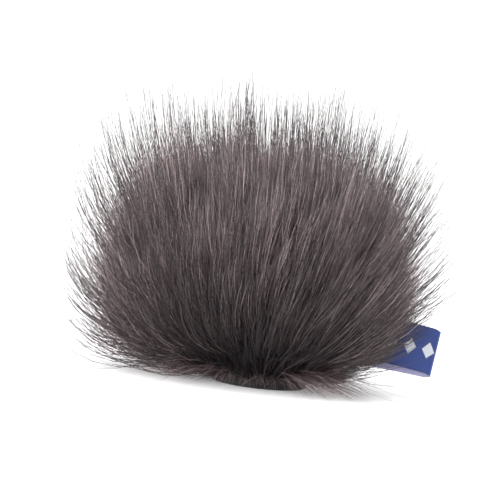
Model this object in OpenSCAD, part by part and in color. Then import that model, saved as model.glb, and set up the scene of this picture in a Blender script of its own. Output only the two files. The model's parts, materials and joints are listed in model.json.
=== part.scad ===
// Furry windscreen: a bag of long-pile fur fabric with a foam liner and an elastic hem.
// The hem grips the body of a small microphone, and the bag surrounds its head.
// The origin is the centre of the opening, level with the hem's lower edge. +Z runs up the
// bore, -Y is the front and +X is the side seam that holds the ribbon label.

/* [Bag] */
// Largest radius of the fur fabric's backing
bag_r = 32; // [31:0.5:34]
// Height of the bag's widest level
bag_z = 31; // [30:0.5:33]
// Rise of the bag above its widest level
bag_up = 20; // [19:0.5:22]
// Drop of the bag below its widest level
bag_down = 22; // [21:0.5:22]
// Thickness of the knitted backing
backing_t = 1; // [0.8:0.1:1.2]
// Room for the seam between the backing and the liner
seam_gap = 0.5; // [0.5:0.05:0.7]
// Thickness of the open-cell foam
foam_t = 3; // [2:0.5:3.5]
// Thickness of the tricot lining that faces the foam
lining_t = 0.4; // [0.3:0.05:0.5]

/* [Fur] */
// Radius to which the lofted pile reaches
fur_r = 58; // [58:0.5:62]
// Height of the pile's widest level
fur_z = 38; // [36:0.5:40]
// Height of the top of the pile
fur_top = 92; // [86:1:96]
// Height of the pile's underside above the hem's lower edge
fur_low = 1.5; // [1:0.1:2.5]

/* [Hem] */
// Radius of the relaxed opening
mouth_r = 13; // [12.8:0.1:13]
// Thickness of the folded hem
hem_w = 2.6; // [2.6:0.05:2.7]
// Height of the hem
hem_h = 9; // [8.6:0.1:9]
// Height of the black hem that shows below the fur fabric
hem_shown = 3; // [2.5:0.1:3.5]
// Thickness of the hem's binding tape
tape_t = 0.5; // [0.4:0.05:0.5]
// Width of the elastic in the hem
elastic_h = 4.4; // [4:0.1:4.6]
// Thickness of the elastic in the hem
elastic_t = 1; // [0.8:0.1:1]
// Number of stitches in each row round the hem
hem_stitches = 30; // [20:1:36]

/* [Label] */
// Width of the woven ribbon
label_w = 15; // [12:1:16]
// Length of the folded ribbon outside its seam
label_l = 25; // [20:1:26]
// Thickness of one ply of the ribbon
label_t = 0.35; // [0.3:0.05:0.4]
// Outside radius of the ribbon's fold
label_fold_r = 0.8; // [0.7:0.05:0.9]
// Angle by which the label droops
label_droop = 7; // [5:1:9]
// Swing of the label to each side
label_swing = 12; // [8:1:14]

/* [Hidden] */

$fn = 96;
slack = 0.05;            // gap between pieces that lie on each other in the hem
layer_gap = 0.1;         // gap between the layers of the bag
square_low = 4;          // how boxy an outline is below its widest level, 2 being round
square_up = 3;           // how boxy the bag is above its widest level
square_fur = 2.5;        // how boxy the pile is above its widest level
curve_step = 5;          // degrees between two points of a curved outline

hem_r = mouth_r + hem_w;
hem_round = 0.8;
elastic_z = 1;
elastic_r = mouth_r + tape_t + 0.2;
lining_lip_r = mouth_r + tape_t + slack;
lining_lip_z = 6;
foam_mouth_r = lining_lip_r + lining_t + 2 * slack;
backing_lip_r = hem_r + slack;
backing_lip_out = backing_lip_r + backing_t;

foam_in = backing_t + seam_gap;
lining_in = foam_in + foam_t + layer_gap;
chamber_in = lining_in + lining_t;

thread_r = 0.17;
fur_mouth_r = backing_lip_out + 2 * thread_r + layer_gap;
stitch_l = 1.8;
seam_stitch_l = 2.4;
seam_step = 6;           // degrees between two stitches of a seam, seen from the bag's middle
tack_step = 2.2;         // the same, in the label's bar tack
seam_low = -48;
label_low = -33;
label_high = -6;

label_x = 32;            // where the label leaves its seam, on the hinge line
label_z = 20.2;
label_gap = 0.3;         // between the label and the tab that holds it
tab_t = 0.7;
tab_depth = 9;
fur_parting = 1.2;       // half width of the parting in the pile at the label's root

// Outline of a squarish oval, from its underside at radius r0 up to the top of its axis.
// The polar form spaces the points evenly, at the same angles in every layer.
function oval_at(a, r, up, down, boxy) =
    let (n = a < 0 ? square_low : boxy, h = a < 0 ? down : up)
    let (reach = pow(pow(cos(a) / r, n) + pow(abs(sin(a)) / h, n), -1 / n))
    [reach * cos(a), reach * sin(a)];

function oval_start(r0, r, down) =
    atan2(-down * pow(1 - pow(r0 / r, square_low), 1 / square_low), r0);

function oval(r0, z, r, up, down, boxy) =
    let (a0 = oval_start(r0, r, down))
    let (next = (floor(a0 / curve_step) + 1) * curve_step)
    [for (a = concat([a0], [for (b = [next : curve_step : 90]) b]))
        oval_at(a, r, up, down, boxy) + [0, z]];

// The bag's outline, a distance s inside the backing's outer face.
function bag(s, r0) = oval(r0, bag_z, bag_r - s, bag_up - s, bag_down - s, square_up);

function bag_at(a, s) =
    oval_at(a, bag_r - s, bag_up - s, bag_down - s, square_up) + [0, bag_z];

function backwards(list) = [for (i = [len(list) - 1 : -1 : 0]) list[i]];

// Half of a round shell: the front half is on the -Y side.
module half(front) {
    rotate([0, 0, front ? 180 : 0])
        rotate_extrude(angle = 180)
            children();
}

// A layer of the bag between two depths, with a lip that runs down along the hem.
module layer(s_out, s_in, r_out, r_in, lip_z) {
    polygon(concat(
        [[r_out, lip_z]],
        bag(s_out, r_out),
        backwards(bag(s_in, r_in)),
        [[r_in, lip_z]]
    ));
}

// The label's own frame: +X along the ribbon, +Z across it, from the hinge line.
module in_label_frame() {
    translate([label_x, 0, label_z])
        rotate([0, label_droop, 0])
            children();
}

module tab_slab(room) {
    in_label_frame()
        translate([-tab_depth, -tab_t / 2 - room, -label_w / 2 - room])
            cube([tab_depth - label_gap + room, tab_t + 2 * room, label_w + 2 * room]);
}

// Parting in the pile, wide enough for the label at either end of its swing.
module label_parting() {
    reach = label_l + 8;
    half_w = fur_parting + reach * tan(label_swing + 3);
    margin = 1.5;
    in_label_frame()
        translate([0, 0, -label_w / 2 - margin])
            linear_extrude(label_w + 2 * margin)
                polygon([
                    [-fur_parting, -fur_parting], [reach, -half_w],
                    [reach, half_w], [-fur_parting, fur_parting]
                ]);
}

module fur_pile(front) {
    color("#5f5455")
        difference() {
            half(front)
                polygon(concat(
                    oval(fur_mouth_r, fur_z, fur_r, fur_top - fur_z, fur_z - fur_low, square_fur),
                    backwards(bag(-layer_gap, fur_mouth_r))
                ));
            label_parting();
            tab_slab(0.1);
        }
}

module backing(front) {
    color("#3d3637")
        difference() {
            half(front)
                layer(0, backing_t, backing_lip_out, backing_lip_r, hem_shown);
            tab_slab(slack);
        }
}

module foam_liner(front) {
    color("#34363a")
        half(front)
            polygon(concat(
                bag(foam_in, foam_mouth_r),
                backwards(bag(foam_in + foam_t, foam_mouth_r))
            ));
}

module lining(front) {
    color("#26272a")
        half(front)
            layer(lining_in, chamber_in, lining_lip_r + lining_t, lining_lip_r, lining_lip_z);
}

// Binding tape folded up over the hem, open at the top.
module hem_binding() {
    color("#1c1c1e")
        rotate_extrude()
            difference() {
                union() {
                    translate([mouth_r, hem_round])
                        square([hem_w, hem_h - hem_round]);
                    translate([mouth_r + hem_round, 0])
                        square([hem_w - 2 * hem_round, hem_round]);
                    for (x = [mouth_r + hem_round, hem_r - hem_round])
                        translate([x, hem_round])
                            circle(hem_round);
                }
                translate([mouth_r + tape_t, tape_t])
                    square([hem_w - 2 * tape_t, hem_h]);
            }
}

module elastic_ring() {
    color("#2b2b2e")
        rotate_extrude()
            translate([elastic_r, elastic_z])
                square([elastic_t, elastic_h]);
}

// Thread across the butted ends of the elastic, at the back of the hem.
module elastic_join_stitches() {
    thread = 0.14;
    rows = 5;
    color("#4a4a4e")
        for (i = [0 : rows - 1])
            translate([
                -stitch_l / 2,
                elastic_r + elastic_t + thread,
                elastic_z + elastic_h * (i + 0.5) / rows
            ])
                rotate([0, 90, 0])
                    cylinder(r = thread, h = stitch_l);
}

// Row of stitches that joins the fur fabric to the hem.
module hem_row(z) {
    color("#303034")
        for (i = [0 : hem_stitches - 1])
            rotate([0, 0, (i + 0.5) * 360 / hem_stitches])
                translate([backing_lip_out + thread_r + 0.02, stitch_l / 2, z])
                    rotate([90, 0, 0])
                        cylinder(r = thread_r, h = stitch_l);
}

// Thread across a seam at the given angles, in the plane between the two halves.
module seam_row(angles, s, side) {
    for (a = angles)
        let (p = bag_at(a, s))
            translate([side * p[0], seam_stitch_l / 2, p[1]])
                rotate([90, 0, 0])
                    cylinder(r = thread_r, h = seam_stitch_l);
}

module seam(s, skip_label) {
    side_angles = [for (a = [seam_low : seam_step : 84]) a];
    kept = [for (a = side_angles) if (a < label_low || a > label_high) a];
    seam_row(side_angles, s, -1);
    seam_row(skip_label ? kept : side_angles, s, 1);
    seam_row([90], s, 1);
}

module side_seam_stitches() {
    color("#4a4243")
        seam(backing_t + seam_gap / 2, true);
}

module liner_seam_stitches() {
    color("#4a4a4e")
        seam(chamber_in + thread_r + 0.05, false);
}

// The sewn-in root of the ribbon, held between the two backings.
module label_tab() {
    color("#27408b")
        difference() {
            tab_slab(0);
            rotate_extrude()
                polygon(concat([[0, 0]], bag(backing_t, backing_lip_r), [[0, 0]]));
        }
}

module label_stitches() {
    color("#202a50")
        seam_row([for (a = [label_low + 1 : tack_step : label_high - 1]) a],
            backing_t + seam_gap / 2, 1);
}

// One ribbon folded back on itself. It swings about the line where it leaves the seam.
module label_loop() {
    fold_x = label_l - label_fold_r;
    color("#3558b5")
        in_label_frame()
            translate([0, 0, -label_w / 2])
                linear_extrude(label_w)
                    difference() {
                        union() {
                            translate([label_gap, -label_fold_r])
                                square([fold_x - label_gap, 2 * label_fold_r]);
                            translate([fold_x, 0])
                                circle(label_fold_r);
                        }
                        translate([label_gap + 1, label_t - label_fold_r])
                            square([fold_x - label_gap - 1, 2 * (label_fold_r - label_t)]);
                        translate([fold_x, 0])
                            circle(label_fold_r - label_t);
                    }
}

module front_fur_pile() { fur_pile(true); }
module back_fur_pile() { fur_pile(false); }
module front_backing() { backing(true); }
module back_backing() { backing(false); }
module front_foam_liner() { foam_liner(true); }
module back_foam_liner() { foam_liner(false); }
module front_lining() { lining(true); }
module back_lining() { lining(false); }
module hem_upper_stitches() { hem_row(hem_h - 1.5); }
module hem_lower_stitches() { hem_row(hem_shown + 1.2); }

front_fur_pile();
back_fur_pile();
front_backing();
back_backing();
front_foam_liner();
back_foam_liner();
front_lining();
back_lining();
hem_binding();
elastic_ring();
elastic_join_stitches();
hem_upper_stitches();
hem_lower_stitches();
side_seam_stitches();
liner_seam_stitches();
label_tab();
label_stitches();
label_loop();
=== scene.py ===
import json
import math

import bpy
import numpy as np
from mathutils import Matrix, Vector
from mathutils.kdtree import KDTree

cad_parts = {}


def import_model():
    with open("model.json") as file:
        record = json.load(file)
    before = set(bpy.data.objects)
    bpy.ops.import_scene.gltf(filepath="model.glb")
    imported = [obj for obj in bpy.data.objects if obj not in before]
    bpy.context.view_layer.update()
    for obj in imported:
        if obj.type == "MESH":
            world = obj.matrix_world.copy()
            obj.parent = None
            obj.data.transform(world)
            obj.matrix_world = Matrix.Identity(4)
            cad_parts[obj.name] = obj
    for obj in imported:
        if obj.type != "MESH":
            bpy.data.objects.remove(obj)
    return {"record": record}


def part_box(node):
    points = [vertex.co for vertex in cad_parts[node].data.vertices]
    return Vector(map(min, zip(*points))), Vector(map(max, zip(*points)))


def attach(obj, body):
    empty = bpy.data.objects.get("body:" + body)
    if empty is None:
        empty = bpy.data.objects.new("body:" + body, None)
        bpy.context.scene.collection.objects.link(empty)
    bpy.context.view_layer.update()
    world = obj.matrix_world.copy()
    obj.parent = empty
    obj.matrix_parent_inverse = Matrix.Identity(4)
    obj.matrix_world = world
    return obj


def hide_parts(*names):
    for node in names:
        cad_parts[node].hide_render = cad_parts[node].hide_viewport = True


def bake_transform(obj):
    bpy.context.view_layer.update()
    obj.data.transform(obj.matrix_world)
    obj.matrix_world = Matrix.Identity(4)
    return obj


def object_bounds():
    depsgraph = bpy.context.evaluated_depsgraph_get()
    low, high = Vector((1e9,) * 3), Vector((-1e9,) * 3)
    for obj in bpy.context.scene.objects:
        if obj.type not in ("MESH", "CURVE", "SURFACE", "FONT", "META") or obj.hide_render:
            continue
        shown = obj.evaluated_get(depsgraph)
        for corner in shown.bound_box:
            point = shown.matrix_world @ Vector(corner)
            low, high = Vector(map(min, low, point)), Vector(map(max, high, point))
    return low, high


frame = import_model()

CAD_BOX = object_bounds()

# ---------------------------------------------------------------- sizes, in metres
MM = 0.001
BACKING_LOW, BACKING_HIGH = (Vector(corner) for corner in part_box("front_backing"))
HEM_HIGH = Vector(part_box("hem_binding")[1])

BAG_R = BACKING_HIGH.x           # largest radius of the backing, outside
BAG_TOP = BACKING_HIGH.z
BAG_MID = 31 * MM                # height of the bag's widest level
BAG_UP = BAG_TOP - BAG_MID
BAG_DOWN = 22 * MM
SQUARE_LOW, SQUARE_UP = 4.0, 3.0  # how boxy the bag is below and above its widest level
HEM_R = HEM_HIGH.x
HEM_TOP = HEM_HIGH.z

HINGE = frame["record"]["behaviour"]["joints"][0]
LABEL_ROOT = np.array(HINGE["pos_m"])
LABEL_ACROSS = np.array(HINGE["axis"])
LABEL_ALONG = np.array([LABEL_ACROSS[2], 0, -LABEL_ACROSS[0]])
LABEL_W = 15 * MM
LABEL_L = 25 * MM
LABEL_T = 0.35 * MM
LABEL_FOLD_R = 0.8 * MM
LABEL_COVERED = 14 * MM          # how much of it the fur covers

HAIR_PAST_CAD = 12 * MM          # how far the longest hairs may pass the CAD's box
FLOOR_GAP = 0.5 * MM
PIECE_TRIANGLES = 150000         # a coat with more than these is split into tiers
TURN = 6.28                      # random phases are drawn from about one turn

# ---------------------------------------------------------------- small helpers


def unit(v):
    return v / np.maximum(np.linalg.norm(v, axis=-1, keepdims=True), 1e-12)


def smooth(x, low, high):
    t = np.clip((x - low) / (high - low), 0, 1)
    return t * t * (3 - 2 * t)


def new_object(name, mesh, material, body="root"):
    obj = bpy.data.objects.new(name, mesh)
    bpy.context.scene.collection.objects.link(obj)
    mesh.materials.append(material)
    if body:
        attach(obj, body)
    return obj


def array_mesh(name, points, faces):
    """A mesh straight from arrays of points and of equal faces, which is quick for large ones."""
    mesh = bpy.data.meshes.new(name)
    mesh.vertices.add(len(points))
    mesh.vertices.foreach_set("co", points.astype(np.float32).ravel())
    mesh.loops.add(faces.size)
    mesh.loops.foreach_set("vertex_index", faces.astype(np.int32).ravel())
    mesh.polygons.add(len(faces))
    starts = np.arange(0, faces.size, faces.shape[1], dtype=np.int32)
    mesh.polygons.foreach_set("loop_start", starts)
    mesh.update(calc_edges=True)
    mesh.shade_smooth()
    return mesh


def write_attribute(mesh, name, values):
    attribute = mesh.attributes.new(name, "FLOAT_VECTOR", "POINT")
    attribute.data.foreach_set("vector", values.astype(np.float32).ravel())


def slab(name, outer, inner, along, across, material, slot, body="root", wrap=False):
    """A closed sheet between two grids of points. It carries the cloth's own coordinates:
    metres along, metres across, and 1 on its outer face or 0 on its inner one."""
    rows, columns = outer.shape[:2]
    top = np.arange(rows * columns).reshape(rows, columns)
    under = top + rows * columns
    if wrap:
        top, under = np.vstack([top, top[:1]]), np.vstack([under, under[:1]])

    def between(a, b):
        return np.stack([a[:-1], a[1:], b[1:], b[:-1]], -1).reshape(-1, 4)

    faces = [between(top[:, k], top[:, k + 1]) for k in range(columns - 1)]
    faces += [between(under[:, k + 1], under[:, k]) for k in range(columns - 1)]
    faces += [between(under[:, 0], top[:, 0]), between(top[:, -1], under[:, -1])]
    if not wrap:
        faces += [between(top[0], under[0]), between(under[-1], top[-1])]
    points = np.concatenate([outer.reshape(-1, 3), inner.reshape(-1, 3)])
    mesh = array_mesh(name, points, np.concatenate(faces))
    flat = np.stack(np.broadcast_arrays(along[:, None], across[None, :]), -1).reshape(-1, 2)
    side = np.repeat([1.0, 0.0], len(flat))
    write_attribute(mesh, "cloth", np.column_stack([np.vstack([flat, flat]), side]))
    mesh.set_sharp_from_angle(angle=math.radians(50))
    return new_object(name, mesh, material, body)


# ---------------------------------------------------------------- materials


class Nodes:
    """Builds a material's node tree in a few readable calls."""

    def __init__(self, name):
        self.material = bpy.data.materials.new(name)
        self.material.use_nodes = True
        self.tree = self.material.node_tree
        self.shader = self.tree.nodes["Principled BSDF"]

    def add(self, kind, inputs=None, **settings):
        node = self.tree.nodes.new(kind)
        for key, value in settings.items():
            setattr(node, key, value)
        for key, value in (inputs or {}).items():
            if isinstance(value, bpy.types.NodeSocket):
                self.tree.links.new(value, node.inputs[key])
            else:
                node.inputs[key].default_value = value
        return node

    def ramp(self, fac, stops):
        node = self.add("ShaderNodeValToRGB", {"Fac": fac})
        elements = node.color_ramp.elements
        while len(elements) < len(stops):
            elements.new(0.5)
        for element, (place, colour) in zip(elements, stops):
            element.position = place
            element.color = (*colour, 1)
        return node.outputs["Color"]

    def mix(self, fac, a, b, mode="MIX"):
        node = self.add(
            "ShaderNodeMix", {0: fac, 6: a, 7: b}, data_type="RGBA", blend_type=mode
        )
        return node.outputs[2]

    def math(self, operation, a, b=0.0, c=0.0):
        return self.add("ShaderNodeMath", {0: a, 1: b, 2: c}, operation=operation).outputs[0]

    def noise(self, scale, detail=3, coordinates=None):
        inputs = {"Scale": scale, "Detail": detail}
        inputs["Vector"] = coordinates or self.place()
        return self.add("ShaderNodeTexNoise", inputs).outputs["Fac"]

    def place(self):
        return self.add("ShaderNodeTexCoord").outputs["Object"]

    def cloth(self):
        """The cloth's own coordinates, as three sockets: along, across and side."""
        read = self.add("ShaderNodeAttribute", attribute_name="cloth")
        return self.add("ShaderNodeSeparateXYZ", {0: read.outputs["Vector"]}).outputs

    def waves(self, distance, period):
        """A smooth wave from 0 to 1 along a distance in metres."""
        turns = self.math("MULTIPLY", distance, 2 * math.pi / period)
        return self.math("MULTIPLY_ADD", self.math("SINE", turns), 0.5, 0.5)

    def step(self, value, edge, soft):
        """0 below the edge and 1 above it, with a soft change."""
        node = self.add(
            "ShaderNodeMapRange", {"Value": value, 1: edge - soft, 2: edge + soft},
            interpolation_type="SMOOTHSTEP",
        )
        return node.outputs[0]

    def bump(self, height, strength, distance):
        node = self.add(
            "ShaderNodeBump", {"Height": height, "Strength": strength, "Distance": distance}
        )
        self.tree.links.new(node.outputs[0], self.shader.inputs["Normal"])

    def set(self, **values):
        """Sets the shader's sockets, with spaces in their names written as _."""
        for key, value in values.items():
            socket = self.shader.inputs[key.replace("_", " ")]
            if isinstance(value, bpy.types.NodeSocket):
                self.tree.links.new(value, socket)
            else:
                socket.default_value = value
        return self


def hair_material(name, root, middle, tip, spread, roughness):
    """Hair whose colour runs from root to tip, with a root colour that is painted shade from deep
    in the fur, differs from strand to strand by up to spread, and is painted darker low on the
    two panels and lighter up high, as painted shade and light."""
    n = Nodes(name)
    strand = n.add("ShaderNodeAttribute", attribute_name="strand")
    along, shade, rise = n.add("ShaderNodeSeparateXYZ", {0: strand.outputs["Vector"]}).outputs
    # Colour from root to tip; the root's colour is painted shade from deep in the fur.
    colour = n.ramp(along, [(0.0, root), (0.4, middle), (0.7, middle), (0.97, tip)])
    dark, light = [1 - spread] * 3, [1 + spread] * 3
    tone = n.ramp(shade, [(0.22, dark), (0.5, (0.9, 0.9, 0.9)), (0.78, light)])
    # Painted shade and light: how light the hair is painted by its third value, its place between
    # the foot of a panel and the crown; low hair is painted darkest, and the highest places
    # lighter than the hair's own colour.
    painted_shading_at = [(0.08, 0.26), (0.16, 0.37), (0.28, 0.66), (0.43, 0.95), (0.7, 0.98), (0.8, 1.2)]
    painted_shading = n.ramp(rise, [(place, [share] * 3) for place, share in painted_shading_at])
    colour = n.mix(1.0, n.mix(1.0, colour, tone, "MULTIPLY"), painted_shading, "MULTIPLY")
    n.set(Base_Color=colour, Roughness=roughness, Specular_IOR_Level=0.2)
    return n.material


# ---------------------------------------------------------------- the bag's outline


def oval(angle, shrink=0.0):
    """(radius, height) of the bag's outline at polar angles about its middle."""
    low = angle < 0
    boxy = np.where(low, SQUARE_LOW, SQUARE_UP)
    half_h = np.where(low, BAG_DOWN, BAG_UP) - shrink
    across = np.abs(np.cos(angle)) / (BAG_R - shrink)
    reach = (across**boxy + (np.abs(np.sin(angle)) / half_h) ** boxy) ** (-1 / boxy)
    return reach * np.cos(angle), BAG_MID + reach * np.sin(angle)


def mouth_angle(lip_r, shrink=0.0):
    """The polar angle at which the outline comes down to a lip's radius."""
    half_low, low_r = BAG_DOWN - shrink, BAG_R - shrink
    return math.atan2(-half_low * (1 - (lip_r / low_r) ** SQUARE_LOW) ** (1 / SQUARE_LOW), lip_r)


LIP_R = HEM_R + 1.05 * MM       # the backing's lip, outside the hem
LIP_LOW = BACKING_LOW.z
LIP_HIGH = BAG_MID - 21.9 * MM


def outline_table():
    """The backing's outer face as (radius, height) points, from the lip's edge to the crown."""
    lip = np.linspace(LIP_LOW + 0.3 * MM, LIP_HIGH, 30)
    r, z = oval(np.linspace(mouth_angle(LIP_R), math.pi / 2, 600))
    return np.concatenate([np.full(len(lip), LIP_R), r]), np.concatenate([lip, z])


OUT_R, OUT_Z = outline_table()
OUT_STEP = np.hypot(np.diff(OUT_R), np.diff(OUT_Z))
OUT_AREA = np.concatenate([[0], np.cumsum(OUT_STEP * (OUT_R[1:] + OUT_R[:-1]) / 2)])
OUT_AREA /= OUT_AREA[-1]
OUT_ANGLE = np.arctan2(OUT_Z - BAG_MID, OUT_R)
OUT_SLOPE = np.arctan2(-np.gradient(OUT_R), np.gradient(OUT_Z))   # of the outward normal


def bag_roots(count, rng):
    """Evenly spread points on the backing: polar angle, azimuth, position and outward normal."""
    share = rng.random(count)
    azimuth = rng.random(count) * 2 * math.pi
    angle, r, z, slope = (
        np.interp(share, OUT_AREA, table) for table in (OUT_ANGLE, OUT_R, OUT_Z, OUT_SLOPE)
    )
    x, y = np.cos(azimuth), np.sin(azimuth)
    point = np.stack([x * r, y * r, z], -1)
    normal = np.stack([x * np.cos(slope), y * np.cos(slope), np.sin(slope)], -1)
    return angle, azimuth, point, normal


# ---------------------------------------------------------------- the fur

# Which way the hair is combed, against its root's polar angle: how far the line from root to
# tip rises above level, on the panels and at the two side seams, and then how much is added to
# its direction towards the right. It is brushed up the panels and spreads out from the seams.
COMB_AT = np.radians([-60, -53, -45, -30, -15, 0, 20, 45, 90])
PANEL_RISE = np.radians([40, 43, 48, 55, 60, 65, 71, 79, 90])
LEFT_RISE = np.radians([5, 9, 17, 30, 42, 54, 64, 70, 90])
RIGHT_RISE = np.radians([16, 20, 27, 38, 51, 64, 76, 85, 90])
LEAN = np.array([-0.1, -0.1, -0.1, -0.1, -0.1, -0.1, -0.1, -0.13, -0.16])
# The same for the outer half of the hair, which turns up and back across the panels.
PANEL_LAY = np.radians([62, 66, 70, 74, 77, 79, 81, 84, 90])
LEFT_LAY = np.radians([36, 46, 57, 69, 76, 80, 82, 85, 90])
RIGHT_LAY = np.radians([48, 56, 66, 76, 84, 89, 90, 90, 90])
LAY_LEAN = np.array([0.2, 0.2, 0.2, 0.2, 0.18, 0.14, 0.04, -0.08, -0.15])
# How long the hair is there, as a share of its coat's length.
COMB_LENGTH = np.array([0.6, 0.82, 0.9, 0.93, 0.97, 1, 1.02, 1.0, 0.88])


def combed(angle, azimuth, rise_noise, turn_noise, rises, lean):
    """The way that hair points: its rise on the panel, blended into the one at the seams."""
    across = np.cos(azimuth)
    panel, left, right = (np.interp(angle, COMB_AT, rise) for rise in rises)
    seam = np.where(across < 0, left, right)
    rise = panel + (seam - panel) * smooth(np.abs(across), 0.5, 1.05) + rise_noise
    turn = azimuth + turn_noise
    level = np.cos(rise)
    way = np.stack([np.cos(turn) * level, np.sin(turn) * level, np.sin(rise)], -1)
    way[:, 0] += np.interp(angle, COMB_AT, lean)
    return unit(way)


def grow(count, locks, wisps, rng, length, spread, stray, gather, waves, stiff, own, rings):
    """Strand centre lines, count x (rings + 1) x 3, with each one's shade and its place in the
    coat's painted shade and light, which rises up the bag and starts higher at the side seams.

    Lengths vary by spread, and directions by stray. gather draws the hairs of a wisp together,
    waves is how deep they wave, stiff is how much they keep the way that they leave the cloth,
    and own is how much of a hair's shade isn't its wisp's."""
    angle, azimuth, root, normal = bag_roots(count, rng)
    lock, wisp = locks["nearest"](root), wisps["nearest"](root)
    rise = locks["rise"][lock] + wisps["rise"][wisp] + rng.laplace(0, stray / 1.4, count)
    turn = locks["turn"][lock] + wisps["turn"][wisp] + rng.laplace(0, stray / 1.4, count)
    # Steep hair has to turn further about the upright to stray as far sideways.
    turn = turn / np.clip(np.cos(np.interp(angle, COMB_AT, PANEL_RISE)), 0.25, 1)
    aim = combed(angle, azimuth, rise, turn, (PANEL_RISE, LEFT_RISE, RIGHT_RISE), LEAN)
    lay = combed(angle, azimuth, rise, turn, (PANEL_LAY, LEFT_LAY, RIGHT_LAY), LAY_LEAN)
    size = length * (1 + rng.normal(0, spread, count)) * locks["length"][lock]
    size = size * np.interp(angle, COMB_AT, COMB_LENGTH)
    # The coat is a little shorter towards the right and longer towards the left.
    size = size * (0.97 - 0.04 * np.clip(root[:, 0] / BAG_R, 0, 1))
    size = size * (1 + 0.06 * np.clip(-root[:, 0] / BAG_R, 0, 1))
    size = np.clip(size, 0.2 * length, 1.5 * length)[:, None]

    # Each hair leaves the cloth outwards and ends the way that its outer half is combed.
    climb = np.maximum(normal[:, 2], -0.3)
    out = np.sqrt(1 - climb**2)
    leave = np.stack([np.cos(azimuth) * out, np.sin(azimuth) * out, climb], -1)
    # It is a curve from root to tip, and its knee says which way its two ends point.
    tip = root + size * unit((1 - stiff) * aim + stiff * leave)
    knee = tip - size * (0.55 + 0.2 * stiff) * unit((1 - stiff) * lay + stiff * leave)
    t = np.linspace(0, 1, rings + 1)[None, :, None]
    path = (
        (1 - t) ** 2 * root[:, None] + 2 * t * (1 - t) * knee[:, None] + t**2 * tip[:, None]
    )
    # Hairs of a wisp draw together towards their tips, and so, less, do the wisps of a lock.
    path = path - gather * (root - wisps["point"][wisp])[:, None] * t**1.3
    path = path - 0.3 * gather * (root - locks["point"][lock])[:, None] * t**1.3
    side = unit(np.cross(aim, rng.normal(size=(count, 3))))[:, None]
    phase = rng.random((count, 1, 1)) * TURN
    path = path + waves * side * t**1.5 * np.sin(phase + 3.5 * t)
    shared = 0.7 * wisps["shade"][wisp] + 0.3 * locks["shade"][lock]
    shade = own * rng.random(count) + (1 - own) * shared
    # Painted shade: hair low on the bag is painted darker than hair high on it, and low hair at
    # the side seams is given painted light, more on the left.
    height = root[:, 2] / BAG_TOP
    seam = np.where(root[:, 0] < 0, 0.5, 0.3) * np.cos(azimuth) ** 4
    painted_shading = 0.7 * height + (1 - height) * seam
    return path, np.stack([shade, painted_shading], -1)


def tufts(count, lean, rng):
    """Points spread over the bag, each with a lean, a length and a shade for the hair near it."""
    _, _, point, _ = bag_roots(count, rng)
    tree = KDTree(count)
    for i, place in enumerate(point):
        tree.insert(place, i)
    tree.balance()
    return {
        "nearest": lambda places: np.array([tree.find(place)[1] for place in places]),
        "point": point,
        "rise": rng.normal(0, lean, count),
        "turn": rng.normal(0, lean, count),
        "length": 1 + rng.normal(0, 0.07, count),
        "shade": rng.random(count),
    }


def trim_over_label(path, rng):
    """Shortens the hair that lies over the label, so that the label's end shows. A few hairs in
    a hundred are spared."""
    from_root = path - LABEL_ROOT
    along = from_root @ LABEL_ALONG
    over = np.abs(from_root @ LABEL_ACROSS) < LABEL_W / 2 + 2.5 * MM
    over &= np.abs(from_root[..., 1]) < 28 * MM
    furthest = np.where(over, along, -1).max(1)
    limit = rng.normal(LABEL_COVERED, 1.8 * MM, len(path))
    spared = rng.random(len(path)) < 0.06
    limit = limit + np.where(spared, 20 * MM, 0)
    start = along[:, 0]
    share = np.where(furthest > limit, (limit - start) / np.maximum(furthest - start, 1e-9), 1)
    share = np.clip(share, 0.3, 1)[:, None, None]
    return path[:, :1] + (path - path[:, :1]) * share


def part_round_label(path, rng):
    """Moves hair out of the label itself, to the side it grows on."""
    from_root = path - LABEL_ROOT
    along = from_root @ LABEL_ALONG
    across = from_root @ LABEL_ACROSS
    away = path[..., 1]
    half = (1.1 * MM + 0.04 * np.clip(along, 0, None)) * rng.uniform(1, 1.4, (len(path), 1))
    half = half * (1 - smooth(np.abs(across), LABEL_W / 2 + 1.5 * MM, LABEL_W / 2 + 5 * MM))
    half = half * smooth(along, -3 * MM, -1 * MM)
    side = np.where(path[:, :1, 1] < 0, -1, 1)
    inside = (away * side < half) & (half > 0)
    path[..., 1] = np.where(inside, side * half, away)
    return path


def beside_label(path):
    """Which strands stand in the space that the label swings through, or just beside it."""
    from_root = path - LABEL_ROOT
    close = np.abs(from_root @ LABEL_ACROSS) < LABEL_W / 2 + 4 * MM
    close &= np.abs(from_root[..., 1]) < 8 * MM
    close &= from_root @ LABEL_ALONG > -1 * MM
    return close.any(1)


def keep_in_reach(path):
    """Holds hair above the floor, and shortens it where it would pass its allowed space."""
    root = path[:, :1]
    grown = path - root
    top, side = CAD_BOX[1][2] + HAIR_PAST_CAD, CAD_BOX[1][0] + HAIR_PAST_CAD
    upwards = (top - root[:, 0, 2]) / np.maximum(grown[..., 2].max(1), 1e-9)
    reach = np.hypot(path[..., 0], path[..., 1]).max(1)
    root_reach = np.hypot(root[:, 0, 0], root[:, 0, 1])
    sideways = (side - root_reach) / np.maximum(reach - root_reach, 1e-9)
    share = np.minimum(1, np.minimum(upwards, sideways))
    path = root + grown * share[:, None, None]
    height = root[..., 2] - FLOOR_GAP
    droop = root[..., 2] - path[..., 2].min(1)[:, None]
    share = np.where(droop > height, height / np.maximum(droop, 1e-9), 1)
    path[..., 2] = root[..., 2] + (path[..., 2] - root[..., 2]) * share
    return path


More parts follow.
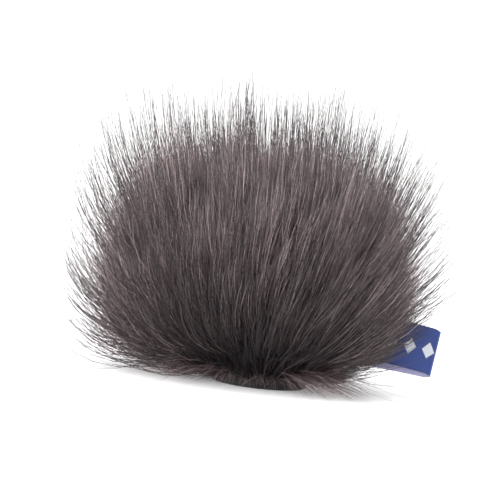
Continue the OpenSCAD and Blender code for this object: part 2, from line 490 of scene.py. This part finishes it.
def needles(name, path, shade, material, width, taper, body="root"):
    """One closed three-sided needle for each strand, thick at the root and pointed at the tip."""
    count, rings = path.shape[0], path.shape[1] - 1
    ahead = np.gradient(path, axis=1)[:, :-1]
    first = unit(np.cross(ahead, np.array([0.31, 0.17, 0.93])))
    second = unit(np.cross(ahead, first))
    t = np.arange(rings) / rings
    radius = (width / 2 * (1 - taper * t**1.5))[None, :, None, None]
    turn = 2 * np.pi * np.arange(3) / 3
    rim = first[:, :, None] * np.cos(turn)[:, None] + second[:, :, None] * np.sin(turn)[:, None]
    shaft = (path[:, :-1, None] + radius * rim).reshape(count, rings * 3, 3)
    points = np.concatenate([shaft, path[:, -1:]], 1)

    faces = [(2, 1, 0)]
    for ring in range(rings - 1):
        for side in range(3):
            a, b = ring * 3 + side, ring * 3 + (side + 1) % 3
            faces += [(a, b, b + 3), (a, b + 3, a + 3)]
    last = (rings - 1) * 3
    faces += [(last + s, last + (s + 1) % 3, last + 3) for s in range(3)]
    per_strand = points.shape[1]
    triangles = np.array(faces)[None] + (np.arange(count) * per_strand)[:, None, None]
    mesh = array_mesh(name, points.reshape(-1, 3), triangles.reshape(-1, 3))

    along = np.concatenate([np.repeat(t, 3), [1.0]])
    data = np.empty((count, per_strand, 3), np.float32)
    # Each point carries how far along its strand it is, then the strand's shade and its place in
    # the painted shading.
    data[..., 0] = along
    data[..., 1:] = shade[:, None]
    write_attribute(mesh, "strand", data)
    return new_object(name, mesh, material, body)


# The roots' colours are painted shade from deep in the fur; the lighter tips of the first three
# are partly painted backlight, and the guard hair's dark tips are its own colour.
UNDERFUR = hair_material(
    "underfur", (0.015, 0.009, 0.010), (0.049, 0.030, 0.033), (0.135, 0.103, 0.107), 0.5, 0.65
)
LONG_HAIR = hair_material(
    "long_hair", (0.022, 0.014, 0.015), (0.167, 0.119, 0.125), (0.295, 0.254, 0.254), 0.7, 0.42
)
STREAK_HAIR = hair_material(
    "streak_hair", (0.032, 0.02, 0.022), (0.285, 0.218, 0.228), (0.34, 0.292, 0.29), 0.9, 0.4
)
GUARD = hair_material(
    "guard_hair", (0.03, 0.024, 0.025), (0.09, 0.072, 0.075), (0.014, 0.014, 0.0135), 0.5, 0.5
)


def lip_hair(azimuth, low, high, turn_noise, climb, rng):
    """Roots on the lip of the fur between two heights above its edge, and the way each points."""
    x, y = np.cos(azimuth), np.sin(azimuth)
    height = LIP_LOW + rng.uniform(low, high, len(azimuth)) * MM
    turn = azimuth + rng.normal(*turn_noise, len(azimuth))
    climb = rng.normal(*climb, len(azimuth))
    root = np.stack([LIP_R * x, LIP_R * y, height], -1)
    return root[:, None], np.stack([np.cos(turn), np.sin(turn), climb], -1)[:, None]


def lip_pieces(name, path, painted_shading, width, taper, rng):
    """The hair of the lip, as one piece on each panel."""
    # Every hair of the lip takes the same given place in the painted shading.
    shade = np.stack([rng.random(len(path)), np.full(len(path), painted_shading)], -1)
    path = keep_in_reach(path)
    front = path[:, 0, 1] < 0
    for side, chosen in (("front", front), ("back", ~front)):
        piece = needles(
            f"{side}_{name}", path[chosen], shade[chosen], LONG_HAIR, width, taper
        )
        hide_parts(f"{side}_fur_pile")


def hem_fuzz(rng):
    """Short soft hair on the lip of the fur. Some of it hangs over the top of the hem, and some
    stands up and closes the gap below the combed coat."""
    azimuth = rng.random(4200) * 2 * math.pi
    root, way = lip_hair(azimuth, 0.2, 3.5, (0, 0.35), (0.15, 0.45), rng)
    stands = np.clip(way[..., 2:], 0, 1)
    # It is longer on the left, and where it stands up.
    size = (2.6 - 1.8 * np.cos(azimuth) + rng.normal(0, 0.6, len(azimuth))) * MM
    size = size[:, None, None] * (1 + 2.2 * stands)
    t = np.linspace(0, 1, 4)[None, :, None]
    droop = 0.9 * (1 - stands) * t**2 * np.array([0, 0, -1])
    # Its place 0.22 in the painted shading paints it dark, as painted shade low on the bag.
    lip_pieces("hem_fuzz", root + size * (0.6 * t * way + droop), 0.22, 0.16 * MM, 0.8, rng)


def trailing_hair(rng):
    """Long fine hair from the lip that spreads out low over whatever the hem stands on. It grows
    at the front right and the back left."""
    azimuth = np.radians(np.concatenate([
        rng.normal(middle, width, count)
        for middle, width, count in ((-42, 19, 320), (207, 22, 240))
    ]))
    root, way = lip_hair(azimuth, 0.5, 4, (0.12, 0.3), (0.12, 0.12), rng)
    size = np.clip(rng.normal(19, 6, len(azimuth)), 5, 34)[:, None, None] * MM
    t = np.linspace(0, 1, 6)[None, :, None]
    path = root + size * (t * way + 0.3 * t**2 * np.array([0, 0, -1]))
    # Its place 0.78 in the painted shading paints it lighter than its own colour, as painted
    # light.
    lip_pieces("trailing_hair", path, 0.78, 0.12 * MM, 0.7, rng)


# The coats of hair on the bag, from the shortest to the longest.
COATS = {
    "underfur": dict(
        count=28000, rings=4, length=25.2 * MM, spread=0.08, stray=0.05, gather=0.5,
        waves=0.4 * MM, stiff=0, own=0.4,
    ),
    "long_hair": dict(
        count=20000, rings=6, length=27 * MM, spread=0.12, stray=0.05, gather=0.5,
        waves=0.4 * MM, stiff=0, own=0.4,
    ),
    "streak_hair": dict(
        count=7500, rings=5, length=31.5 * MM, spread=0.14, stray=0.04, gather=0.1,
        waves=0.5 * MM, stiff=0.06, own=0.9,
    ),
    "guard_hair": dict(
        count=4600, rings=6, length=45 * MM, spread=0.18, stray=0.11, gather=0.3,
        waves=1 * MM, stiff=0.2, own=0.4,
    ),
    "flyaway_hair": dict(
        count=1300, rings=6, length=47 * MM, spread=0.25, stray=0.24, gather=0,
        waves=2 * MM, stiff=0.15, own=1,
    ),
}
# Each coat's material, the width of its hair and how much of that is gone at the tip.
LOOKS = {
    "underfur": (UNDERFUR, 0.24 * MM, 0.8),
    "long_hair": (LONG_HAIR, 0.15 * MM, 0.85),
    "streak_hair": (STREAK_HAIR, 0.2 * MM, 0.75),
    "guard_hair": (GUARD, 0.2 * MM, 0.5),
    "flyaway_hair": (GUARD, 0.1 * MM, 0.5),
}


def fur():
    rng = np.random.default_rng(7)
    locks, wisps = tufts(800, math.radians(5.5), rng), tufts(12000, math.radians(3.5), rng)
    for coat, habit in COATS.items():
        look = LOOKS[coat]
        path, shade = grow(locks=locks, wisps=wisps, rng=rng, **habit)
        path = part_round_label(trim_over_label(path, rng), rng)
        # Few of the longest hairs are left to trail on the floor.
        low = path[:, -1, 2] < 5 * MM
        trails = low & (rng.random(habit["count"]) < 0.8) & (coat == "guard_hair")
        # The flyaway hairs stand out from the two sides.
        sideways = np.abs(path[:, 0, 0]) > 0.8 * np.abs(path[:, 0, 1])
        kept = ~trails & (sideways | (coat != "flyaway_hair"))
        path, shade = keep_in_reach(path[kept]), shade[kept]
        front, beside = path[:, 0, 1] < 0, beside_label(path)
        tiers = math.ceil(habit["count"] * (habit["rings"] - 1) * 6 / 2 / PIECE_TRIANGLES)
        for side, mine in (("front", front), ("back", ~front)):
            chosen = np.flatnonzero(mine & ~beside)
            by_height = chosen[np.argsort(path[chosen, 0, 2])]
            for tier, pick in enumerate(np.array_split(by_height, tiers)):
                piece = needles(f"{side}_{coat}_{tier + 1}", path[pick], shade[pick], *look)
                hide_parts(f"{side}_fur_pile")
            # The hair next to the label is a piece of its own, which rides on no body.
            pick = mine & beside
            piece = needles(f"{side}_{coat}_by_label", path[pick], shade[pick], *look, body=None)
            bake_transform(piece)
            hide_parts(f"{side}_fur_pile")
    hem_fuzz(rng)
    trailing_hair(rng)


fur()

# ---------------------------------------------------------------- cloth, foam and thread


def knit(name, colour, pitch, roughness, depth):
    """Knitted cloth: rows of small V-shaped loops."""
    n = Nodes(name)
    along, across, _ = n.cloth()
    slant = n.math("ABSOLUTE", n.math("SUBTRACT", n.waves(across, 2 * pitch), 0.5))
    shifted = n.math("MULTIPLY_ADD", slant, 0.8 * pitch, along)
    loops = n.math("MULTIPLY", n.waves(shifted, pitch), n.waves(across, pitch))
    uneven = n.noise(900.0)
    height = n.math("MULTIPLY_ADD", uneven, 0.35, loops)
    # Painted shade: the cloth is painted darker between the loops, where the knit sinks in, and
    # the noise makes it uneven at random.
    dark = tuple(0.55 * c for c in colour)
    n.set(Base_Color=n.ramp(height, [(0.1, dark), (0.9, colour)]), Roughness=roughness)
    n.set(Sheen_Weight=0.25, Sheen_Roughness=0.5, Specular_IOR_Level=0.2)
    n.bump(height, 0.6, depth)
    return n.material


def tape(name, colour, pitch):
    """Binding tape in a herringbone weave."""
    n = Nodes(name)
    along, across, _ = n.cloth()
    zigzag = n.math("PINGPONG", across, 2.4 * MM)
    twill = n.waves(n.math("ADD", along, zigzag), pitch)
    yarn = n.waves(n.math("SUBTRACT", along, zigzag), pitch / 2.2)
    height = n.math("MULTIPLY_ADD", yarn, 0.3, twill)
    worn = n.noise(180.0)
    # The colour is darker in the weave's hollows, as painted shade, and patchy at random with
    # wear.
    dark, light = tuple(0.6 * c for c in colour), tuple(1.5 * c for c in colour)
    tone = n.ramp(n.math("MULTIPLY_ADD", worn, 0.5, height), [(0.2, dark), (1.0, light)])
    n.set(Base_Color=tone, Roughness=n.math("MULTIPLY_ADD", worn, 0.2, 0.62))
    n.set(Sheen_Weight=0.15, Specular_IOR_Level=0.25)
    n.bump(height, 0.5, 0.12 * MM)
    return n.material


def foam_material():
    """Open-cell foam."""
    n = Nodes("open_cell_foam")
    cells = n.add(
        "ShaderNodeTexVoronoi",
        {"Vector": n.place(), "Scale": 1400.0},
        feature="DISTANCE_TO_EDGE",
    ).outputs["Distance"]
    large = n.noise(140.0)
    tone = n.math("MULTIPLY_ADD", large, 0.3, cells)
    dark, light = (0.006, 0.0065, 0.0075), (0.04, 0.042, 0.047)
    n.set(Base_Color=n.ramp(tone, [(0.1, light), (0.5, dark)]), Roughness=0.92)
    n.set(Specular_IOR_Level=0.15)
    n.bump(cells, 0.8, 0.3 * MM)
    return n.material


def thread_material(name, colour):
    """Spun thread, with fine fibres along it."""
    n = Nodes(name)
    fibres = n.noise(4000.0, detail=4)
    dark, light = tuple(0.55 * c for c in colour), tuple(1.35 * c for c in colour)
    n.set(Base_Color=n.ramp(fibres, [(0.3, dark), (0.7, light)]), Roughness=0.55)
    n.set(Sheen_Weight=0.2, Specular_IOR_Level=0.35)
    n.bump(fibres, 0.4, 0.05 * MM)
    return n.material


def ribbon_material():
    """Woven satin ribbon: a plain row of lozenges on its face, a painted highlight along its
    fold, and a paler reverse.
    """
    n = Nodes("woven_ribbon")
    along, across, side = n.cloth()
    pitch, half_long, half_wide = 6.2 * MM, 2.1 * MM, 2.7 * MM
    from_fold = n.math("ABSOLUTE", n.math("SUBTRACT", along, LABEL_L))
    nearest = n.math("SUBTRACT", pitch / 2, n.math("PINGPONG", from_fold, pitch / 2))
    reach = n.math("MULTIPLY", nearest, 1 / half_long)
    spread = n.math("MULTIPLY", n.math("ABSOLUTE", across), 1 / half_wide)
    lozenge = n.math("SUBTRACT", 1.0, n.step(n.math("ADD", reach, spread), 1.0, 0.06))

    weft, warp = n.waves(along, 0.42 * MM), n.waves(across, 0.3 * MM)
    weave = n.math("MULTIPLY_ADD", warp, 0.4, weft)
    blotch = n.noise(90.0)
    # The blue is patchy at random, and a little darker in the weave's hollows, as painted shade.
    blue = n.ramp(
        n.math("MULTIPLY_ADD", blotch, 0.7, n.math("MULTIPLY", weave, 0.3)),
        [(0.2, (0.004, 0.017, 0.11)), (0.9, (0.009, 0.035, 0.19))],
    )
    edge = n.step(n.math("ABSOLUTE", across), LABEL_W / 2 - 0.7 * MM, 0.1 * MM)
    face = n.mix(n.math("MULTIPLY", edge, 0.6), blue, (0.009, 0.023, 0.12, 1))
    # Painted highlight: the face is painted lighter blue along the fold, where its round edge
    # catches the light.
    fold = n.math("SUBTRACT", 1.0, n.step(from_fold, 0.75 * MM, 0.3 * MM))
    face = n.mix(n.math("MULTIPLY", fold, 0.5), face, (0.07, 0.11, 0.33, 1))
    face = n.mix(lozenge, face, (0.44, 0.46, 0.51, 1))
    n.set(Base_Color=n.mix(side, (0.27, 0.265, 0.41, 1), face))
    n.set(Roughness=n.math("MULTIPLY_ADD", weave, 0.12, 0.36), Specular_IOR_Level=0.4)
    n.set(Sheen_Weight=0.2, Sheen_Roughness=0.35)
    n.bump(weave, 0.35, 0.08 * MM)
    return n.material


BACKING_KNIT = knit("backing_knit", (0.030, 0.023, 0.025), 0.9 * MM, 0.85, 0.25 * MM)
TRICOT = knit("tricot", (0.022, 0.022, 0.025), 0.5 * MM, 0.6, 0.12 * MM)
HEM_TAPE = tape("hem_tape", (0.010, 0.010, 0.011), 0.8 * MM)
ELASTIC = tape("woven_elastic", (0.020, 0.020, 0.022), 0.6 * MM)
FOAM = foam_material()
BLACK_THREAD = thread_material("black_thread", (0.014, 0.014, 0.015))
GREY_THREAD = thread_material("grey_thread", (0.055, 0.055, 0.06))
BROWN_THREAD = thread_material("brown_thread", (0.055, 0.045, 0.047))
BLUE_THREAD = thread_material("blue_thread", (0.02, 0.03, 0.12))
RIBBON = ribbon_material()


def profile(depth, lip_r, lip_z, count):
    """Points (radius, height) of the bag's outline at a depth, with a straight lip below it
    where lip_z gives its edge."""
    r, z = oval(np.linspace(mouth_angle(lip_r, depth), math.radians(89.8), count), depth)
    if lip_z is None:
        return np.stack([r, z], -1)
    lip = np.linspace(lip_z, z[0], 9)[:-1]
    lip = np.stack([np.full(len(lip), lip_r), lip], -1)
    return np.concatenate([lip, np.stack([r, z], -1)])


def lengths(points):
    """How far each point is along the line through them all."""
    return np.concatenate([[0], np.cumsum(np.linalg.norm(np.diff(points, axis=0), axis=-1))])


def revolve(outline, azimuth, bulge=0.0):
    """A grid of points: the outline at each azimuth, pushed out by bulge (rows x points)."""
    r = outline[None, :, 0] + bulge
    x, y = np.cos(azimuth)[:, None] * r, np.sin(azimuth)[:, None] * r
    return np.stack([x, y, np.broadcast_to(outline[None, :, 1], x.shape)], -1)


def half_shell(name, front, outer, inner, gap, ripple, material, slot, seed):
    """One sewn half of a layer of the bag, with small uneven ripples."""
    start = gap / BAG_R
    azimuth = np.linspace(start, math.pi - start, 91) + (math.pi if front else 0)
    rng = np.random.default_rng(seed)
    share = np.linspace(0, 1, len(outer))
    bulge = np.zeros((len(azimuth), len(outer)))
    for _ in range(7):
        round_it, up_it = rng.uniform(3, 11), rng.uniform(4, 14)
        wave = np.sin(azimuth[:, None] * round_it + share * up_it + rng.uniform(0, TURN))
        bulge += wave * rng.uniform(0.5, 1)
    bulge *= ripple / 4 * np.sin(math.pi * np.clip(share * 1.6 - 0.3, 0, 1))
    grids = [revolve(edge, azimuth, bulge) for edge in (outer, inner)]
    return slab(name, *grids, azimuth * BAG_R, lengths(outer), material, slot)


def bag_layers():
    """The knitted backing, the foam and the lining within it, each in a front and a back half.
    A layer's two faces are given by their depths below the backing's outer face."""
    lip_in = HEM_R + 0.05 * MM
    foam_lip = 14.0 * MM
    for side, front, seed in (("front", True, 11), ("back", False, 23)):
        backing = half_shell(
            f"{side}_knit_backing", front,
            profile(0.0, lip_in + 1 * MM, LIP_LOW, 60), profile(1 * MM, lip_in, LIP_LOW, 60),
            0.15 * MM, 0.04 * MM, BACKING_KNIT, "backing", seed,
        )
        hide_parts(f"{side}_backing")
        foam = half_shell(
            f"{side}_foam", front,
            profile(1.55 * MM, foam_lip, None, 60), profile(4.45 * MM, foam_lip, None, 60),
            0.2 * MM, 0.1 * MM, FOAM, "foam", seed + 1,
        )
        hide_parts(f"{side}_foam_liner")
        lining = half_shell(
            f"{side}_tricot_lining", front,
            profile(4.65 * MM, 13.9 * MM, 6 * MM, 60), profile(4.95 * MM, 13.6 * MM, 6 * MM, 60),
            0.15 * MM, 0.06 * MM, TRICOT, "lining", seed + 2,
        )
        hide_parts(f"{side}_lining")


def hem():
    """Binding tape folded up round the elastic, which gathers it a little."""
    count, thick = 240, 0.5 * MM
    azimuth = np.linspace(0, 2 * math.pi, count, endpoint=False)
    low_r, high_r, corner = HEM_R - 2.6 * MM, HEM_R, 0.8 * MM

    def fold(inset, steps=7):
        """The U-shaped section, from the top inside, under the fold and up the outside."""
        bend = np.linspace(math.pi, 1.5 * math.pi, steps)
        radius = corner - inset
        left = np.stack([
            low_r + corner + radius * np.cos(bend), corner + radius * np.sin(bend),
        ], -1)
        right = np.stack([high_r + low_r - left[::-1, 0], left[::-1, 1]], -1)
        rise = np.linspace(HEM_TOP, corner, 12)[:-1]
        up_in = np.stack([np.full(len(rise), low_r + inset), rise], -1)
        up_out = np.stack([np.full(len(rise), high_r - inset), rise[::-1]], -1)
        return np.concatenate([up_in, left, right, up_out])

    outer, inner = fold(0.0), fold(thick)
    rng = np.random.default_rng(31)
    gather = np.zeros(count)
    for turns, share in ((30, 1.0), (47, 0.5), (71, 0.35), (13, 0.5)):
        gather += share * np.sin(turns * azimuth + rng.uniform(0, TURN))
    low = 1 - smooth(outer[:, 1], 2.2 * MM, 3.2 * MM)
    outside = smooth(outer[:, 0], low_r + 1 * MM, high_r)
    bulge = 0.09 * MM * gather[:, None] * (low * outside)[None, :]
    piece = slab(
        "folded_hem_tape", revolve(outer, azimuth, bulge), revolve(inner, azimuth, bulge),
        azimuth * HEM_R, lengths(outer), HEM_TAPE, "binding", wrap=True,
    )
    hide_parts("hem_binding")

    low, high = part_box("elastic_ring")
    rows = np.linspace(0, 1, 40)
    ribs = 0.07 * MM * (np.cos(rows * 2 * math.pi * 7) - 1)
    faces = []
    for r, sign in ((high.x, 1), (high.x - 1 * MM, -1)):
        r = r + sign * ribs
        faces.append(np.stack([r, low.z + rows * (high.z - low.z)], -1))
    ring = slab(
        "ribbed_elastic", revolve(faces[0], azimuth), revolve(faces[1], azimuth),
        azimuth * high.x, lengths(faces[0]), ELASTIC, "elastic", wrap=True,
    )
    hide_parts("elastic_ring")


def stitches(name, node, places, ways, outs, length, radius, material):
    """Two-ply thread between pairs of needle holes, dipping into the cloth at both ends."""
    steps, sides = 11, 10
    t = np.linspace(0, 1, steps)
    end = 2 * t - 1
    down = np.cross(ways, outs)
    middle = places[:, None] + ways[:, None] * (end * length / 2)[None, :, None]
    middle = middle - outs[:, None] * (0.7 * radius * end**4)[None, :, None]
    angle = 2 * math.pi * np.arange(sides) / sides
    ply = 1 + 0.14 * np.cos(2 * (angle[None, :] - 7 * t[:, None]))
    thick = radius * 0.88 * ply * np.sqrt(np.clip(1 - end**8, 0.02, 1))[:, None]
    rim = (
        (thick * np.cos(angle))[None, ..., None] * outs[:, None, None]
        + (thick * np.sin(angle))[None, ..., None] * down[:, None, None]
    )
    rings = middle[:, :, None] + rim
    count = len(places)
    points = np.concatenate([rings.reshape(count, -1, 3), middle[:, :1], middle[:, -1:]], 1)
    first, last = steps * sides, steps * sides + 1
    faces = []
    for k in range(sides):
        j = (k + 1) % sides
        for row in range(steps - 1):
            a, b = row * sides + k, row * sides + j
            faces += [(a, b, b + sides), (a, b + sides, a + sides)]
        top = (steps - 1) * sides
        faces += [(first, j, k), (last, top + k, top + j)]
    triangles = np.array(faces)[None] + (np.arange(count) * points.shape[1])[:, None, None]
    mesh = array_mesh(name, points.reshape(-1, 3), triangles.reshape(-1, 3))
    piece = new_object(name, mesh, material, "root")
    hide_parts(node)


def hem_stitches():
    """Two rows of single stitches round the lip."""
    count, radius = 30, 0.17 * MM
    azimuth = (np.arange(count) + 0.5) * 2 * math.pi / count
    outs = np.stack([np.cos(azimuth), np.sin(azimuth), np.zeros(count)], -1)
    ways = np.stack([-np.sin(azimuth), np.cos(azimuth), np.zeros(count)], -1)
    for name in ("hem_upper", "hem_lower"):
        low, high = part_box(f"{name}_stitches")
        places = outs * (LIP_R + radius + 0.02 * MM)
        places[:, 2] = (low.z + high.z) / 2
        stitches(
            f"{name}_thread", f"{name}_stitches", places, ways, outs, 1.8 * MM, radius,
            BLACK_THREAD,
        )


def seam_places(degrees, depth, side):
    """Points on the seam at polar angles, on the right (1) or the left (-1)."""
    r, z = oval(np.radians(degrees), depth)
    return np.stack([side * r, np.zeros(len(r)), z], -1)


def seam_stitches(name, node, places, radius, material):
    """Stitches that cross the seam from the front panel to the back one."""
    outs = unit(places - np.array([0, 0, BAG_MID]))
    ways = np.broadcast_to(np.array([0.0, 1.0, 0.0]), places.shape)
    stitches(name, node, places, ways, outs, 2.4 * MM, radius, material)


def seams():
    """The side seam up one side, over the crown and down the other, which the label's tack takes
    over where the label is, the liner's seam within it, and the join of the elastic."""
    backing_depth, lining_depth, radius = 1.25 * MM, 5.22 * MM, 0.17 * MM
    label_low, label_high = -33, -6          # degrees, as for every place along the seam
    seam, crown = np.arange(-48, 85, 6.0), [90.0]
    clear = seam[(seam < label_low) | (seam > label_high)]
    tack = np.arange(label_low + 1, label_high, 2.2)
    for name, node, depth, left, right, material in (
        ("side_seam_thread", "side_seam_stitches", backing_depth, seam, clear, BROWN_THREAD),
        ("liner_seam_thread", "liner_seam_stitches", lining_depth, seam, seam, GREY_THREAD),
    ):
        places = [
            seam_places(left, depth, -1), seam_places(right, depth, 1),
            seam_places(crown, depth, 1),
        ]
        seam_stitches(name, node, np.concatenate(places), radius, material)
    places = seam_places(tack, backing_depth, 1)
    seam_stitches("label_tack_thread", "label_stitches", places, radius, BLUE_THREAD)

    low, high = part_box("elastic_join_stitches")
    radius, rows = 0.14 * MM, 5
    places = np.zeros((rows, 3))
    places[:, 1] = (low.y + high.y) / 2
    places[:, 2] = np.linspace(low.z + radius, high.z - radius, rows)
    ways = np.broadcast_to(np.array([1.0, 0.0, 0.0]), places.shape)
    outs = np.broadcast_to(np.array([0.0, 1.0, 0.0]), places.shape)
    stitches(
        "elastic_join_thread", "elastic_join_stitches", places, ways, outs, 1.8 * MM, radius,
        GREY_THREAD,
    )


# ---------------------------------------------------------------- the label


def from_label(along, away, across):
    """Points given in the label's own frame: out from the hinge line, along y, and across."""
    shape = np.broadcast_shapes(np.shape(along), np.shape(away), np.shape(across))
    point = np.broadcast_to(LABEL_ROOT, (*shape, 3)).copy()
    point += np.asarray(along)[..., None] * LABEL_ALONG
    point += np.asarray(across)[..., None] * LABEL_ACROSS
    point[..., 1] += away
    return point


def label():
    """One ribbon folded back on itself, with its plies a little out of line."""
    start, bulb = 0.3 * MM, LABEL_FOLD_R - LABEL_T / 2
    fold_at = LABEL_L - LABEL_FOLD_R
    run = np.linspace(start, fold_at, 70)
    opening = 0.22 * MM + (bulb - 0.22 * MM) * smooth(run, 0, 14 * MM)
    turn = np.linspace(-math.pi / 2, math.pi / 2, 17)[1:-1]
    middle = np.concatenate([
        np.stack([run, -opening], -1),
        np.stack([fold_at + bulb * np.cos(turn), bulb * np.sin(turn)], -1),
        np.stack([run[::-1], opening[::-1]], -1),
    ])
    ahead = unit(np.gradient(middle, axis=0))
    aside = np.stack([ahead[:, 1], -ahead[:, 0]], -1)
    travelled = lengths(middle)
    width = np.linspace(-LABEL_W / 2, LABEL_W / 2, 31)
    sag = -0.5 * MM * (middle[:, 0] / LABEL_L) ** 2
    # The back ply hangs lower than the front one, more so towards the seam.
    slip = smooth(travelled, fold_at - 2 * MM, fold_at + 3 * MM)
    slip = -slip * (1.4 * MM + 1.2 * MM * (travelled - fold_at) / fold_at)
    grids = []
    for offset in (LABEL_T / 2, -LABEL_T / 2):
        edge = middle + offset * aside
        bow = 0.5 * MM * np.sin(math.pi * edge[:, :1] / LABEL_L) * (width / LABEL_W) ** 2 * 4
        grids.append(from_label(
            edge[:, :1] + 0 * width, edge[:, 1:] - bow, width[None] + (sag + slip)[:, None]
        ))
    ribbon = slab(
        "folded_ribbon", grids[0], grids[1], travelled, width, RIBBON, "ribbon", "label"
    )
    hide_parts("label_loop")

    # The ribbon's two ends, sewn into the side seam between the backings.
    run = np.linspace(0, 1, 14)
    probe = np.linspace(-9 * MM, -0.3 * MM, 300)
    spots = from_label(probe[None, :], 0.0, width[:, None])
    inner_r = np.interp(spots[..., 2], OUT_Z, OUT_R) - 1.05 * MM
    outside = spots[..., 0] > inner_r
    begin = probe[np.argmax(outside, axis=1)]
    along = begin[None, :] + run[:, None] * (-0.35 * MM - begin)[None, :]
    for number, sign in ((1, -1), (2, 1)):
        near, far = sign * 0.02 * MM, sign * 0.33 * MM
        ends = slab(
            f"sewn_ribbon_end_{number}",
            from_label(along, far, width[None, :]), from_label(along, near, width[None, :]),
            run * 3 * MM, width, RIBBON, "ribbon",
        )
        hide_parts("label_tab")


bag_layers()
hem()
hem_stitches()
seams()
label()

# ---------------------------------------------------------------- stage, light and camera

CAMERA_TARGET = Vector((-7.5 * MM, 0, 43.1 * MM))
CAMERA_ELEVATION = math.radians(4)
CAMERA_ROLL = math.radians(6.5)              # the photographed windscreen leans to the right
CAMERA_LENS, CAMERA_SENSOR = 180.0, 36.0     # millimetres, as Blender takes them
VIEW_WIDTH = 163 * MM                        # what the picture takes in at the object


def floor():
    """A wide white sheet, a little brighter than the light on it would make it."""
    reaches, steps = (0.5, 2.0, 8.0, 30.0), 64
    points = [(0, 0, 0)]
    for reach in reaches:
        for i in range(steps):
            a = 2 * math.pi * i / steps
            points.append((reach * math.cos(a), reach * math.sin(a), 0))
    faces = [(0, 1 + i, 1 + (i + 1) % steps) for i in range(steps)]
    for ring in range(len(reaches) - 1):
        low, high = 1 + ring * steps, 1 + (ring + 1) * steps
        for i in range(steps):
            j = (i + 1) % steps
            faces.append((low + i, high + i, high + j, low + j))
    mesh = bpy.data.meshes.new("floor")
    mesh.from_pydata(points, [], faces)
    n = Nodes("floor_paper")
    grain = n.ramp(n.noise(60.0), [(0.3, (0.945, 0.945, 0.945)), (0.7, (0.955, 0.955, 0.955))])
    n.set(Base_Color=grain, Roughness=0.9, Specular_IOR_Level=0.0)
    n.set(Emission_Color=(1, 1, 1, 1), Emission_Strength=0.16)
    mesh.materials.append(n.material)
    obj = bpy.data.objects.new("floor", mesh)
    bpy.context.scene.collection.objects.link(obj)


def area_light(name, place, target, size, power):
    light = bpy.data.lights.new(name, "AREA")
    light.shape = "DISK"
    light.size = size
    light.energy = power
    obj = bpy.data.objects.new(name, light)
    obj.location = place
    direction = Vector(target) - Vector(place)
    obj.rotation_euler = direction.to_track_quat("-Z", "Y").to_euler()
    bpy.context.scene.collection.objects.link(obj)


def world(strength):
    w = bpy.data.worlds.new("studio")
    w.use_nodes = True
    background = w.node_tree.nodes["Background"]
    background.inputs["Color"].default_value = (1, 1, 1, 1)
    background.inputs["Strength"].default_value = strength
    bpy.context.scene.world = w


def camera():
    data = bpy.data.cameras.new("camera")
    data.lens = CAMERA_LENS
    data.sensor_width = CAMERA_SENSOR
    data.clip_start = 0.01
    obj = bpy.data.objects.new("camera", data)
    distance = VIEW_WIDTH * CAMERA_LENS / CAMERA_SENSOR
    back = Vector((0, -math.cos(CAMERA_ELEVATION), math.sin(CAMERA_ELEVATION)))
    obj.location = CAMERA_TARGET + back * distance
    level = (-back).to_track_quat("-Z", "Y").to_matrix()
    obj.rotation_euler = (level @ Matrix.Rotation(CAMERA_ROLL, 3, "Z")).to_euler()
    bpy.context.scene.collection.objects.link(obj)
    bpy.context.scene.camera = obj


floor()
area_light("top_softbox", (0.0, -0.3, 0.95), (0, 0, 0.05), 1.2, 8.5)
area_light("front_fill", (-1.0, -0.95, 0.35), (0, 0, 0.03), 1.0, 28.0)
world(1.4)
camera()
bpy.context.scene.view_settings.view_transform = "Standard"
